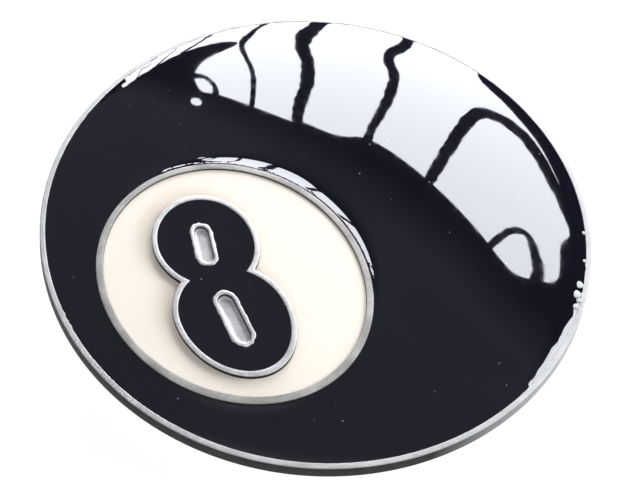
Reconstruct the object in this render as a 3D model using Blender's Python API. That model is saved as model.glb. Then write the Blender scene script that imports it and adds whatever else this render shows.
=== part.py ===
"""Round belt buckle with an eight-ball face: a cast dome with enamel cells, a swing bail and a hook stud.

Units are metres. The buckle lies on its back: +Z is the normal of its face and +Y is the numeral's
own up. Z = 0 is the surface that the barrel of the bail clip and the tip of the hook stud stand on,
and the Z axis is the axis of the round casting.
"""

import math

import bmesh
import bpy

MM = 0.001
GAP = 0.3 * MM                          # clearance between neighbouring pieces

# Casting: a shallow dome in a narrow raised rim, hollow behind
RIM_BASE_RADIUS = 37.2 * MM
RIM_TOP_RADIUS = 37.0 * MM
RIM_LAND = 0.74 * MM                    # width of the flat top of the rim
RIM_HEIGHT = 1.9 * MM
BACK_PLANE = 6.0 * MM                   # height of the casting's flat back
DOME_RISE = 3.9 * MM                    # crown of the dome above the rim's top
ENAMEL_DEPTH = 1.0 * MM
WALL_PROUD = 0.15 * MM                  # how far the numeral's walls stand above its enamel
SHELL = 1.7 * MM

RIM_TOP = BACK_PLANE + RIM_HEIGHT
RIM_INNER_RADIUS = RIM_TOP_RADIUS - RIM_LAND
SPHERE_RADIUS = (RIM_INNER_RADIUS ** 2 + DOME_RISE ** 2) / (2 * DOME_RISE)

# Spot: a round patch drawn foreshortened towards the rim, with a raised ring round it
SPOT_BEARING = math.radians(212.3)
SPOT_DISTANCE = 16.66 * MM
SPOT_RADIUS = 18.06 * MM
FORESHORTENING = 0.817
RING_WIDTH = 0.93 * MM
RING_PROUD = 0.3 * MM                   # how far the ring stands above the enamel on both sides

# Numeral: two lobes, in the spot's own flat frame
NUMERAL_RAISE = 0.5 * MM                # height of the numeral above the spot
NUMERAL_WALL = 0.8 * MM
NUMERAL_AXIS = -2.35 * MM
NUMERAL_BOW = 3.1                       # sideways bow per metre, times the square of the height
UPPER_LOBE = {"centre": 5.3 * MM, "half_width": 6.8 * MM, "above": 7.2 * MM, "below": 7.0 * MM}
LOWER_LOBE = {"centre": -6.3 * MM, "half_width": 7.4 * MM, "above": 7.1 * MM, "below": 8.3 * MM}
SLOTS = (
    {"centre": (-2.62 * MM, 4.94 * MM), "size": (3.28 * MM, 7.25 * MM), "lean": math.radians(-7.5)},
    {"centre": (-2.35 * MM, -6.87 * MM), "size": (3.6 * MM, 8.6 * MM), "lean": math.radians(6.5)},
)
SLOT_WALL = 0.72 * MM
SLOT_DEPTH = 0.6 * MM

# Bail: a closed wire loop for a 38 mm belt, hinged in a folded clip
WIRE_RADIUS = 1.5 * MM
BAIL_INSIDE = 40.0 * MM
BAIL_REACH = 17.5 * MM                  # hinge bar to belt bar, between centres
BAIL_CORNER = 4.5 * MM
HINGE_X = -11.0 * MM
BARREL_RADIUS = 2.85 * MM
BORE_RADIUS = 1.85 * MM
CLIP_LENGTH = 28.0 * MM
CLIP_TAIL = 10.0 * MM                   # hinge axis to the end of the tail
TAIL_THICKNESS = 2.0 * MM
PAD_LENGTH = 12.0 * MM                  # each of the two cast pads behind the clip, along Y
PAD_EDGES = (-14.5 * MM, 0.5 * MM)
PAD_ROOT = RIM_TOP + DOME_RISE - ENAMEL_DEPTH - SHELL + 0.15 * MM      # just inside the shell

ABOVE_FACE = RIM_TOP + 2 * DOME_RISE    # clear of everything on the face
HINGE_Z = BARREL_RADIUS
BAIL_REST = math.asin((HINGE_Z - WIRE_RADIUS) / BAIL_REACH)

# Rivets and hook stud
RIVET_X = -4.5 * MM
RIVET_Y = 9.0 * MM
RIVET_SHANK = 0.9 * MM
RIVET_HEAD = 1.9 * MM
RIVET_HEAD_HEIGHT = 1.0 * MM
RIVET_TOP = 7.4 * MM
STUD_X = 21.0 * MM
STUD_PAD_RADIUS = 4.2 * MM
STUD_PAD_FACE = 6.9 * MM
STUD_PAD_ROOT = 8.5 * MM                # inside the shell everywhere above the pad
STUD_HEAD = 2.5 * MM
STUD_HEAD_HEIGHT = 2.6 * MM
STUD_NECK = 1.5 * MM
STUD_SHOULDER = 2.6 * MM
STUD_SHOULDER_HEIGHT = 0.5 * MM
STUD_SHANK = 1.2 * MM
STUD_TOP = 8.3 * MM

# Facets
ROUND_STEPS = 64
DOME_RINGS = 6
RING_STEPS = 64
LOBE_STEPS = 16
SMALL_STEPS = 24
SHARP_ANGLE = math.radians(35)


def clear_scene():
    for item in list(bpy.data.objects):
        bpy.data.objects.remove(item, do_unlink=True)


def make_material(name, colour, roughness, metallic):
    material = bpy.data.materials.new(name)
    material.use_nodes = True
    shader = material.node_tree.nodes["Principled BSDF"]
    shader.inputs["Base Color"].default_value = (*colour, 1.0)
    shader.inputs["Roughness"].default_value = roughness
    shader.inputs["Metallic"].default_value = metallic
    material.diffuse_color = (*colour, 1.0)
    return material


def make_object(name, mesh_builder, material=None):
    """Turn a bmesh into an object with outward faces, smooth where its faces meet gently."""
    bmesh.ops.recalc_face_normals(mesh_builder, faces=mesh_builder.faces)
    mesh = bpy.data.meshes.new(name)
    mesh_builder.to_mesh(mesh)
    mesh_builder.free()
    mesh.shade_smooth()
    mesh.set_sharp_from_angle(angle=SHARP_ANGLE)
    if material:
        mesh.materials.append(material)
    thing = bpy.data.objects.new(name, mesh)
    bpy.context.scene.collection.objects.link(thing)
    return thing


def helper(name, mesh_builder):
    """A cutter or a joined-on shape, which isn't a piece of its own."""
    thing = make_object(name, mesh_builder)
    thing.hide_render = True
    thing.display_type = "WIRE"
    return thing


def combine(target, operation, *tools):
    for tool in tools:
        modifier = target.modifiers.new(f"{operation.lower()}_{tool.name}", "BOOLEAN")
        modifier.operation = operation
        modifier.solver = "EXACT"
        modifier.object = tool


# --- Outlines and shapes ---------------------------------------------------------------------

def dome_height(x, y):
    """Height of the enamel's surface over the point (x, y)."""
    radius_squared = min(x * x + y * y, RIM_INNER_RADIUS ** 2)
    return RIM_TOP + DOME_RISE - SPHERE_RADIUS + math.sqrt(SPHERE_RADIUS ** 2 - radius_squared)


def on_dome(offset):
    return lambda x, y: dome_height(x, y) + offset


def at_height(z):
    return lambda x, y: z


def lathe(profile, steps=ROUND_STEPS, centre=(0.0, 0.0)):
    """Spin a profile of (radius, z) points, which starts and ends on the axis."""
    mesh = bmesh.new()
    corners = [mesh.verts.new((centre[0] + r, centre[1], z)) for r, z in profile]
    edges = [mesh.edges.new(pair) for pair in zip(corners, corners[1:])]
    bmesh.ops.spin(mesh, geom=corners + edges, cent=(*centre, 0.0), axis=(0.0, 0.0, 1.0),
                   angle=2 * math.pi, steps=steps)
    bmesh.ops.remove_doubles(mesh, verts=mesh.verts, dist=1e-6)
    return mesh


def loop_at(mesh, outline, height):
    return [mesh.verts.new((x, y, height(x, y))) for x, y in outline]


def join_loops(mesh, first, second):
    for i in range(len(first)):
        j = (i + 1) % len(first)
        mesh.faces.new((first[i], first[j], second[j], second[i]))


def prism(outline, low, high):
    """A solid on an outline, between two heights that are functions of (x, y)."""
    mesh = bmesh.new()
    bottom = loop_at(mesh, outline, low)
    top = loop_at(mesh, outline, high)
    join_loops(mesh, bottom, top)
    mesh.faces.new(bottom)
    mesh.faces.new(top)
    return mesh


def wall(outer, inner, low, high):
    """A closed wall between two outlines with the same number of points."""
    mesh = bmesh.new()
    loops = [loop_at(mesh, outline, height)
             for outline, height in ((outer, low), (outer, high), (inner, high), (inner, low))]
    for i in range(len(loops)):
        join_loops(mesh, loops[i], loops[(i + 1) % len(loops)])
    return mesh


def rectangle(x_low, x_high, y_low, y_high):
    return [(x_low, y_low), (x_high, y_low), (x_high, y_high), (x_low, y_high)]


def dome_points(radius, offset, rings=DOME_RINGS):
    """Profile points of the dome, moved up by offset, from the axis out to a radius."""
    radii = [radius * i / rings for i in range(rings + 1)]
    return [(r, dome_height(r, 0.0) + offset) for r in radii]


def dome_layer(radius, top, bottom):
    """A slab that follows the dome between two offsets from its surface."""
    return lathe(dome_points(radius, top) + dome_points(radius, bottom)[::-1])


def spot_outline(grow):
    """The spot's edge, an ellipse that is short along its bearing, moved outward by grow."""
    long_half = SPOT_RADIUS + grow
    short_half = SPOT_RADIUS * FORESHORTENING + grow
    cosine, sine = math.cos(SPOT_BEARING), math.sin(SPOT_BEARING)
    points = []
    for i in range(RING_STEPS):
        angle = 2 * math.pi * i / RING_STEPS
        along = SPOT_DISTANCE + short_half * math.sin(angle)
        across = long_half * math.cos(angle)
        points.append((along * cosine - across * sine, along * sine + across * cosine))
    return points


def from_spot(u, v):
    """Carry a point of the spot's flat frame onto the face, foreshortened along the bearing."""
    cosine, sine = math.cos(SPOT_BEARING), math.sin(SPOT_BEARING)
    along = (u * cosine + v * sine) * (FORESHORTENING - 1) + SPOT_DISTANCE
    return u + along * cosine, v + along * sine


def half_width(lobe, v, grow):
    half_height = (lobe["above"] if v > lobe["centre"] else lobe["below"]) + grow
    rise = (v - lobe["centre"]) / half_height
    if abs(rise) >= 1:
        return 0.0
    return (lobe["half_width"] + grow) * math.sqrt(1 - rise * rise)


def waist_height(grow):
    """Height at which the two lobes are equally wide, where they cross."""
    low, high = LOWER_LOBE["centre"], UPPER_LOBE["centre"]
    for _ in range(40):
        middle = (low + high) / 2
        if half_width(UPPER_LOBE, middle, grow) > half_width(LOWER_LOBE, middle, grow):
            high = middle
        else:
            low = middle
    return low


def numeral_outline(grow):
    """The outline of the 8, anticlockwise from the right end of its waist, moved outward by grow."""
    waist = waist_height(grow)
    upper_start = math.asin((waist - UPPER_LOBE["centre"]) / (UPPER_LOBE["below"] + grow))
    lower_start = math.asin((waist - LOWER_LOBE["centre"]) / (LOWER_LOBE["above"] + grow))
    arcs = (
        (UPPER_LOBE, upper_start, math.pi - upper_start),
        (LOWER_LOBE, math.pi - lower_start, 2 * math.pi + lower_start),
    )
    points = []
    for lobe, start, end in arcs:
        for i in range(LOBE_STEPS):
            angle = start + (end - start) * i / LOBE_STEPS
            half_height = lobe["above"] if math.sin(angle) > 0 else lobe["below"]
            v = lobe["centre"] + (half_height + grow) * math.sin(angle)
            u = NUMERAL_AXIS + (lobe["half_width"] + grow) * math.cos(angle) + NUMERAL_BOW * v * v
            points.append(from_spot(u, v))
    return points


def slot_outline(slot, grow):
    """A slot with round ends in one of the numeral's lobes."""
    radius = slot["size"][0] / 2 + grow
    straight = slot["size"][1] / 2 - slot["size"][0] / 2
    cosine, sine = math.cos(slot["lean"]), math.sin(slot["lean"])
    steps = SMALL_STEPS // 2
    points = []
    for end, start in ((1, 0.0), (-1, math.pi)):
        for i in range(steps + 1):
            angle = start + math.pi * i / steps
            u = radius * math.cos(angle)
            v = end * straight + radius * math.sin(angle)
            points.append(from_spot(slot["centre"][0] + u * cosine - v * sine,
                                    slot["centre"][1] + u * sine + v * cosine))
    return points


# --- Pieces ----------------------------------------------------------------------------------

def make_casting(material):
    """Dome, rim and cell walls, with the pads and holes that take the clip and the stud."""
    hollow_drop = -ENAMEL_DEPTH - SHELL
    hollow_level = SPHERE_RADIUS - DOME_RISE - RIM_TOP + BACK_PLANE - hollow_drop
    hollow_radius = math.sqrt(SPHERE_RADIUS ** 2 - hollow_level ** 2)
    profile = dome_points(RIM_INNER_RADIUS, -ENAMEL_DEPTH)
    profile += [(RIM_INNER_RADIUS, RIM_TOP), (RIM_TOP_RADIUS, RIM_TOP), (RIM_BASE_RADIUS, BACK_PLANE)]
    profile += dome_points(hollow_radius, hollow_drop)[::-1]
    casting = make_object("buckle_casting", lathe(profile), material)

    root = on_dome(-ENAMEL_DEPTH - SHELL / 2)
    numeral_top = NUMERAL_RAISE + WALL_PROUD
    ring = wall(spot_outline(RING_WIDTH), spot_outline(0), root, on_dome(RING_PROUD))
    numeral = wall(numeral_outline(NUMERAL_WALL), numeral_outline(0), root, on_dome(numeral_top))
    combine(casting, "UNION", helper("spot_ring", ring), helper("numeral_wall", numeral))
    for i, slot in enumerate(SLOTS):
        island = prism(slot_outline(slot, 0), root, on_dome(numeral_top))
        recess = prism(slot_outline(slot, -SLOT_WALL), on_dome(numeral_top - SLOT_DEPTH),
                       at_height(ABOVE_FACE))
        combine(casting, "UNION", helper(f"slot_island_{i}", island))
        combine(casting, "DIFFERENCE", helper(f"slot_recess_{i}", recess))

    for side in (-1, 1):
        near, far = sorted((side * CLIP_LENGTH / 2, side * (CLIP_LENGTH / 2 - PAD_LENGTH)))
        pad = prism(rectangle(*PAD_EDGES, near, far), at_height(BACK_PLANE), at_height(PAD_ROOT))
        combine(casting, "UNION", helper(f"clip_pad_{side}", pad))
        hole = lathe([(0, BACK_PLANE - GAP), (RIVET_SHANK + GAP, BACK_PLANE - GAP),
                      (RIVET_SHANK + GAP, RIVET_TOP + GAP), (0, RIVET_TOP + GAP)],
                     SMALL_STEPS, (RIVET_X, side * RIVET_Y))
        combine(casting, "DIFFERENCE", helper(f"rivet_hole_{side}", hole))

    pad = lathe([(0, STUD_PAD_FACE), (STUD_PAD_RADIUS, STUD_PAD_FACE),
                 (STUD_PAD_RADIUS, STUD_PAD_ROOT), (0, STUD_PAD_ROOT)], SMALL_STEPS, (STUD_X, 0.0))
    hole = lathe([(0, STUD_PAD_FACE - GAP), (STUD_SHANK + GAP, STUD_PAD_FACE - GAP),
                  (STUD_SHANK + GAP, STUD_TOP + GAP), (0, STUD_TOP + GAP)],
                 SMALL_STEPS, (STUD_X, 0.0))
    combine(casting, "UNION", helper("stud_pad", pad))
    combine(casting, "DIFFERENCE", helper("stud_hole", hole))


def make_enamel(black, cream):
    """Three fills, each a little below the walls of its cell."""
    floor = GAP - ENAMEL_DEPTH
    below, above = at_height(BACK_PLANE), at_height(ABOVE_FACE)

    field = make_object("field_enamel", dome_layer(RIM_INNER_RADIUS - GAP, 0.0, floor), black)
    around_ring = helper("around_ring", prism(spot_outline(RING_WIDTH + GAP), below, above))
    combine(field, "DIFFERENCE", around_ring)

    spot = make_object("spot_enamel", dome_layer(RIM_INNER_RADIUS - GAP, 0.0, floor), cream)
    in_ring = helper("in_ring", prism(spot_outline(-GAP), below, above))
    around_numeral = prism(numeral_outline(NUMERAL_WALL + GAP), below, above)
    combine(spot, "INTERSECT", in_ring)
    combine(spot, "DIFFERENCE", helper("around_numeral", around_numeral))

    numeral_layer = dome_layer(RIM_INNER_RADIUS - GAP, NUMERAL_RAISE, floor)
    numeral = make_object("numeral_enamel", numeral_layer, black)
    combine(numeral, "INTERSECT", helper("in_numeral", prism(numeral_outline(-GAP), below, above)))
    for i, slot in enumerate(SLOTS):
        around_slot = prism(slot_outline(slot, GAP), below, above)
        combine(numeral, "DIFFERENCE", helper(f"around_slot_{i}", around_slot))


def make_bail(material):
    """Closed wire loop with its origin on the hinge axis, its belt bar resting on Z = 0."""
    half_width_y = BAIL_INSIDE / 2 + WIRE_RADIUS
    corner_steps = 6
    corners = (
        (-BAIL_CORNER, half_width_y - BAIL_CORNER, 0.0),
        (-BAIL_REACH + BAIL_CORNER, half_width_y - BAIL_CORNER, math.pi / 2),
        (-BAIL_REACH + BAIL_CORNER, BAIL_CORNER - half_width_y, math.pi),
        (-BAIL_CORNER, BAIL_CORNER - half_width_y, 3 * math.pi / 2),
    )
    points = []
    for x, y, start in corners:
        for i in range(corner_steps + 1):
            angle = start + math.pi / 2 * i / corner_steps
            points.append((x + BAIL_CORNER * math.cos(angle), y + BAIL_CORNER * math.sin(angle)))
    curve = bpy.data.curves.new("bail_loop", "CURVE")
    curve.dimensions = "3D"
    curve.bevel_depth = WIRE_RADIUS
    curve.bevel_resolution = 4
    curve.materials.append(material)
    spline = curve.splines.new("POLY")
    spline.points.add(len(points) - 1)
    for target, (x, y) in zip(spline.points, points):
        target.co = (x, y, 0.0, 1.0)
    spline.use_cyclic_u = True
    bail = bpy.data.objects.new("bail_loop", curve)
    bail.location = (HINGE_X, 0.0, HINGE_Z)
    bail.rotation_euler = (0.0, -BAIL_REST, 0.0)
    bpy.context.scene.collection.objects.link(bail)


def make_clip(material):
    """Strap folded round the hinge bar, its doubled tail riveted to the cast pads."""
    tail_level = BARREL_RADIUS - TAIL_THICKNESS
    start = math.pi / 2
    end = 2 * math.pi + math.asin(tail_level / BARREL_RADIUS)
    side_view = []
    for i in range(SMALL_STEPS + 1):
        angle = start + (end - start) * i / SMALL_STEPS
        side_view.append((BARREL_RADIUS * math.cos(angle), BARREL_RADIUS * math.sin(angle)))
    side_view += [(CLIP_TAIL, tail_level), (CLIP_TAIL, BARREL_RADIUS)]

    mesh = bmesh.new()
    ends = []
    for y in (-CLIP_LENGTH / 2, CLIP_LENGTH / 2):
        ends.append([mesh.verts.new((HINGE_X + x, y, HINGE_Z + z)) for x, z in side_view])
        mesh.faces.new(ends[-1])
    join_loops(mesh, *ends)
    clip = make_object("bail_clip", mesh, material)

    bore = bmesh.new()
    bore_ends = []
    for y in (-CLIP_LENGTH, CLIP_LENGTH):
        angles = [2 * math.pi * i / SMALL_STEPS for i in range(SMALL_STEPS)]
        bore_ends.append([bore.verts.new((HINGE_X + BORE_RADIUS * math.cos(angle), y,
                                          HINGE_Z + BORE_RADIUS * math.sin(angle)))
                          for angle in angles])
        bore.faces.new(bore_ends[-1])
    join_loops(bore, *bore_ends)
    combine(clip, "DIFFERENCE", helper("clip_bore", bore))
    for side in (-1, 1):
        hole = lathe([(0, 0), (RIVET_SHANK + GAP, 0), (RIVET_SHANK + GAP, BACK_PLANE), (0, BACK_PLANE)],
                     SMALL_STEPS, (RIVET_X, side * RIVET_Y))
        combine(clip, "DIFFERENCE", helper(f"clip_hole_{side}", hole))


def make_rivets(material):
    """Domed heads under the clip's tail, shanks up into the cast pads."""
    head_top = HINGE_Z + BARREL_RADIUS - TAIL_THICKNESS - GAP
    head = []
    for i in range(5):
        angle = math.pi / 2 * i / 4
        head.append((RIVET_HEAD * math.sin(angle), head_top - RIVET_HEAD_HEIGHT * math.cos(angle)))
    profile = head + [(RIVET_SHANK, head_top), (RIVET_SHANK, RIVET_TOP), (0, RIVET_TOP)]
    for name, side in (("clip_rivet_lower", -1), ("clip_rivet_upper", 1)):
        make_object(name, lathe(profile, SMALL_STEPS, (RIVET_X, side * RIVET_Y)), material)


def make_stud(material):
    """Hook stud: rounded head, neck for the belt's hole, shoulder and a shank in the cast pad."""
    middle = STUD_HEAD_HEIGHT / 2
    head = []
    for i in range(9):
        angle = math.pi * i / 10
        head.append((STUD_HEAD * math.sin(angle), middle - middle * math.cos(angle)))
    shoulder_top = STUD_PAD_FACE - GAP
    shoulder_bottom = shoulder_top - STUD_SHOULDER_HEIGHT
    profile = head + [
        (STUD_NECK, STUD_HEAD_HEIGHT),
        (STUD_NECK, shoulder_bottom),
        (STUD_SHOULDER, shoulder_bottom),
        (STUD_SHOULDER, shoulder_top),
        (STUD_SHANK, shoulder_top),
        (STUD_SHANK, STUD_TOP),
        (0, STUD_TOP),
    ]
    make_object("hook_stud", lathe(profile, SMALL_STEPS, (STUD_X, 0.0)), material)


def main():
    clear_scene()
    pewter = make_material("pewter", (0.50, 0.49, 0.47), 0.35, 1.0)
    plated_steel = make_material("plated_steel", (0.60, 0.60, 0.60), 0.3, 1.0)
    black = make_material("black_enamel", (0.010, 0.010, 0.020), 0.08, 0.0)
    cream = make_material("cream_enamel", (0.92, 0.87, 0.77), 0.15, 0.0)
    make_casting(pewter)
    make_enamel(black, cream)
    make_bail(plated_steel)
    make_clip(plated_steel)
    make_rivets(plated_steel)
    make_stud(plated_steel)


main()
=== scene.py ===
"""Looks of the round eight-ball belt buckle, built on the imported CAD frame.

Sizes are metres in the CAD's own frame: +Z is the normal of the face, +Y the numeral's own up, and
Z = 0 the surface that the buckle lies on. The shapes repeat the CAD's sizes with fine meshes.
"""

import math

import bmesh
import bpy
import numpy as np
from mathutils import Matrix, Vector, noise
from mathutils.geometry import delaunay_2d_cdt


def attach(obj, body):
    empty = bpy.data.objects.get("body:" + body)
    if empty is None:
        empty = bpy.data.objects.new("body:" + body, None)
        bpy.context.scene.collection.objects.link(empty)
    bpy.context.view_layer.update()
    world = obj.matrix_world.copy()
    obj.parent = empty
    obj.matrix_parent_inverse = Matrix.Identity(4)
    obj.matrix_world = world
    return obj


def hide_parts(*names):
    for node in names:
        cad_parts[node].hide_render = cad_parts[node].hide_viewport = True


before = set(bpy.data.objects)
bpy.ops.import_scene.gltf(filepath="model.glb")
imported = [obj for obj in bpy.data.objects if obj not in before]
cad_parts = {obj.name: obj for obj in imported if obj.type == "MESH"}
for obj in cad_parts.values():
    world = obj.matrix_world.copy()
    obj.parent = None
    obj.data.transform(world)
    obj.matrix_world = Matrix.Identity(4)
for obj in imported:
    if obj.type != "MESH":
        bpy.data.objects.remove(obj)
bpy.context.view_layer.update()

MM = 0.001
WELD = 0.001 * MM                       # vertices nearer than this are one

# --- Sizes of the CAD ---

RIM_BASE_RADIUS = 37.2 * MM
RIM_TOP_RADIUS = 37.0 * MM
RIM_INNER_RADIUS = 36.26 * MM
BACK_PLANE = 6.0 * MM
RIM_TOP = 7.9 * MM
DOME_RISE = 3.9 * MM
SPHERE_RADIUS = (RIM_INNER_RADIUS ** 2 + DOME_RISE ** 2) / (2 * DOME_RISE)
CELL_DEPTH = 1.0 * MM
SHELL = 1.7 * MM

SPOT_BEARING = math.radians(212.3)
SPOT_DISTANCE = 16.66 * MM
SPOT_RADIUS = 18.06 * MM
FORESHORTENING = 0.817
RING_WIDTH = 0.93 * MM
RING_PROUD = 0.3 * MM

NUMERAL_TOP = 0.65 * MM                 # numeral's walls above the dome's surface
NUMERAL_WALL = 0.8 * MM
NUMERAL_AXIS = -2.35 * MM
NUMERAL_BOW = 3.1
UPPER_LOBE = {"centre": 5.3 * MM, "half_width": 6.8 * MM, "above": 7.2 * MM, "below": 7.0 * MM}
LOWER_LOBE = {"centre": -6.3 * MM, "half_width": 7.4 * MM, "above": 7.1 * MM, "below": 8.3 * MM}
SLOTS = (
    {"centre": (-2.62 * MM, 4.94 * MM), "size": (3.28 * MM, 7.25 * MM), "lean": math.radians(-7.5)},
    {"centre": (-2.35 * MM, -6.87 * MM), "size": (3.6 * MM, 8.6 * MM), "lean": math.radians(6.5)},
)
SLOT_WALL = 0.72 * MM
SLOT_DEPTH = 0.6 * MM

HINGE_X = -11.0 * MM
HINGE_Z = 2.85 * MM
WIRE_RADIUS = 1.5 * MM
BAIL_INSIDE = 40.0 * MM
BAIL_REACH = 17.5 * MM
BAIL_CORNER = 4.5 * MM
BAIL_REST = math.asin((HINGE_Z - WIRE_RADIUS) / BAIL_REACH)
BARREL_RADIUS = 2.85 * MM
BORE_RADIUS = 1.85 * MM
STRAP = 1.0 * MM                        # thickness of the clip's folded strap
CLIP_LENGTH = 28.0 * MM
CLIP_TAIL = 10.0 * MM
PAD_EDGES = (-14.5 * MM, 0.5 * MM)
PAD_SPAN = (2.0 * MM, 14.0 * MM)        # each pad along Y, on either side
PAD_ROOT = 9.25 * MM
RIVET_PLACES = {
    "clip_rivet_lower": (-4.5 * MM, -9.0 * MM),
    "clip_rivet_upper": (-4.5 * MM, 9.0 * MM),
}
RIVET_SHANK = 0.9 * MM
RIVET_HEAD = 1.9 * MM
RIVET_HEAD_HEIGHT = 1.0 * MM
RIVET_HEAD_TOP = 3.4 * MM
RIVET_TOP = 7.4 * MM
STUD_PLACE = (21.0 * MM, 0.0)
STUD_PAD_RADIUS = 4.2 * MM
STUD_PAD_FACE = 6.9 * MM
STUD_PAD_ROOT = 8.5 * MM
STUD_HEAD = 2.5 * MM
STUD_HEAD_HEIGHT = 2.6 * MM
STUD_NECK = 1.5 * MM
STUD_SHOULDER = (2.6 * MM, 6.1 * MM, 6.6 * MM)     # radius, underside, top
STUD_SHANK = 1.2 * MM
STUD_TOP = 8.3 * MM

# --- Finish of the face ---

EDGE_ROUND = 0.14 * MM                  # rounding of the walls' edges
EDGE_STEPS = 4                          # faces across a rounded edge
UNDER_WALL = 0.12 * MM                  # enamel carried on inside the metal, so that no gap shows
HOLD = 0.02 * MM                        # a flat has extra points this near its rounded edges
CAST_SHARP = 60                         # degrees: gentler edges of cast metal are shaded smooth
RAGGED_LENGTH = 0.7 * MM                # length of the raggedness of cast edges

# Height and length of the enamel's waves, and where each surface reads them in the noise.
WAVE_HEIGHT = 0.008 * MM
WAVE_LENGTH = 9 * MM
FIELD_WAVES = 1.0
ROLL_WAVES = 3.0
SPOT_WAVES = 5.0
NUMERAL_WAVES = 9.0

FIELD_LEVEL = -0.02 * MM                # black enamel away from its walls, against the dome
RING_CLIMB = 0.34 * MM                  # how far it climbs the ring
RING_REACH = 1.15 * MM                  # and over what distance
FULL_CLIMB = (math.radians(45), math.radians(80))       # where the climb is full: bearing, width
LEAST_CLIMB = 0.5                       # share of the climb elsewhere
RIM_ROLL = 0.14 * MM                    # how far it rolls off at the rim
RIM_REACH = 0.65 * MM
FULL_ROLLS = (                          # where the roll is full: bearing, width
    (math.radians(312), math.radians(32)),
    (math.radians(140), math.radians(28)),
)
LEAST_ROLL = 0.2                        # share of the roll elsewhere
ROLL_UNEVEN = 0.25                      # how uneven the roll is, and the length of that
ROLL_WAVE_LENGTH = 1.3 * MM
RIM_BULGE = 0.9                         # how far it swells before it rolls off, against the roll
BULGE_REACH = 4 * MM
BURRS = (                               # beads of metal beside the rim: bearing, radius, size
    (math.radians(327.3), 35.64 * MM, 0.55 * MM),
    (math.radians(324.7), 35.54 * MM, 0.62 * MM),
    (math.radians(323.6), 35.98 * MM, 0.45 * MM),
    (math.radians(321.7), 35.86 * MM, 0.45 * MM),
    (math.radians(333.8), 36.02 * MM, 0.28 * MM),
    (math.radians(341.2), 36.05 * MM, 0.30 * MM),
)
BURR_HEIGHT = 0.09 * MM
BURR_ROOT = 0.3 * MM                    # how deep a burr goes into the enamel
NICKS = (                               # where the land's inner edge is ragged: bearing, spread
    (math.radians(194), math.radians(3.5)),
    (math.radians(331), math.radians(6)),
)
NICK_DEPTH = 0.35 * MM
LIGHTER_SIDE_BEARING = math.radians(325)        # the side of the rim painted lighter, where the light falls: its dark is thinned there
LIGHTER_SIDE_SPAN = (24 * MM, 35 * MM)          # where the lightening starts and is full, along that bearing

SPOT_LEVEL = -0.06 * MM                 # cream enamel, and how far it climbs its walls
SPOT_CLIMB = 0.07 * MM
NUMERAL_LEVEL = 0.42 * MM               # the numeral's black enamel, and how far it climbs
NUMERAL_CLIMB = 0.16 * MM
WALL_REACH = 0.7 * MM
SHADE_OFFSET = (-0.9 * MM, 1.0 * MM)    # from the numeral to the painted shadow on the cream beside it
SHADE_REACH = 1.15 * MM
SLOT_EDGE = 0.2 * MM                    # rounding of the slots' rims
SLOT_RAGGED = 0.14 * MM                 # how uneven they are

# Spacing of each enamel's mesh: coarse, fine, and how near the edges it is fine.
FIELD_SPACING = (0.8 * MM, 0.26 * MM, 2.6 * MM)
SPOT_SPACING = (0.7 * MM, 0.25 * MM, 1.2 * MM)
NUMERAL_SPACING = (0.6 * MM, 0.22 * MM, 1.2 * MM)


# --- Outlines ---

def dome_height(x, y):
    """Height of the dome, part of a sphere, over a point of the plan."""
    radius_squared = x * x + y * y
    return RIM_TOP + DOME_RISE - SPHERE_RADIUS + np.sqrt(SPHERE_RADIUS ** 2 - radius_squared)


def circle_outline(radius, steps):
    angles = [2 * math.pi * i / steps for i in range(steps)]
    return [(radius * math.cos(a), radius * math.sin(a)) for a in angles]


def spot_outline(grow, steps=400):
    """The spot's edge, an ellipse that is short along its bearing, moved outward by grow."""
    long_half = SPOT_RADIUS + grow
    short_half = SPOT_RADIUS * FORESHORTENING + grow
    cosine, sine = math.cos(SPOT_BEARING), math.sin(SPOT_BEARING)
    points = []
    for i in range(steps):
        angle = 2 * math.pi * i / steps
        along = SPOT_DISTANCE + short_half * math.sin(angle)
        across = long_half * math.cos(angle)
        points.append((along * cosine - across * sine, along * sine + across * cosine))
    return points


def from_spot(u, v):
    """Carry a point of the spot's flat frame onto the face, foreshortened along the bearing."""
    cosine, sine = math.cos(SPOT_BEARING), math.sin(SPOT_BEARING)
    along = (u * cosine + v * sine) * (FORESHORTENING - 1) + SPOT_DISTANCE
    return u + along * cosine, v + along * sine


def half_width(lobe, v, grow):
    """Half the width of a lobe of the numeral at the height v."""
    half_height = (lobe["above"] if v > lobe["centre"] else lobe["below"]) + grow
    rise = (v - lobe["centre"]) / half_height
    if abs(rise) >= 1:
        return 0.0
    return (lobe["half_width"] + grow) * math.sqrt(1 - rise * rise)


def waist_height(grow):
    """Height at which the two lobes are equally wide, where they cross, found by halving."""
    low, high = LOWER_LOBE["centre"], UPPER_LOBE["centre"]
    for _ in range(40):
        middle = (low + high) / 2
        if half_width(UPPER_LOBE, middle, grow) > half_width(LOWER_LOBE, middle, grow):
            high = middle
        else:
            low = middle
    return low


def numeral_outline(grow, steps=110):
    """Outline of the 8, anticlockwise from the right end of its waist, moved outward by grow."""
    waist = waist_height(grow)
    upper_start = math.asin((waist - UPPER_LOBE["centre"]) / (UPPER_LOBE["below"] + grow))
    lower_start = math.asin((waist - LOWER_LOBE["centre"]) / (LOWER_LOBE["above"] + grow))
    arcs = (
        (UPPER_LOBE, upper_start, math.pi - upper_start),
        (LOWER_LOBE, math.pi - lower_start, 2 * math.pi + lower_start),
    )
    points = []
    for lobe, start, end in arcs:
        for i in range(steps):
            angle = start + (end - start) * i / steps
            half_height = lobe["above"] if math.sin(angle) > 0 else lobe["below"]
            v = lobe["centre"] + (half_height + grow) * math.sin(angle)
            u = NUMERAL_AXIS + (lobe["half_width"] + grow) * math.cos(angle) + NUMERAL_BOW * v * v
            points.append(from_spot(u, v))
    return points


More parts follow.
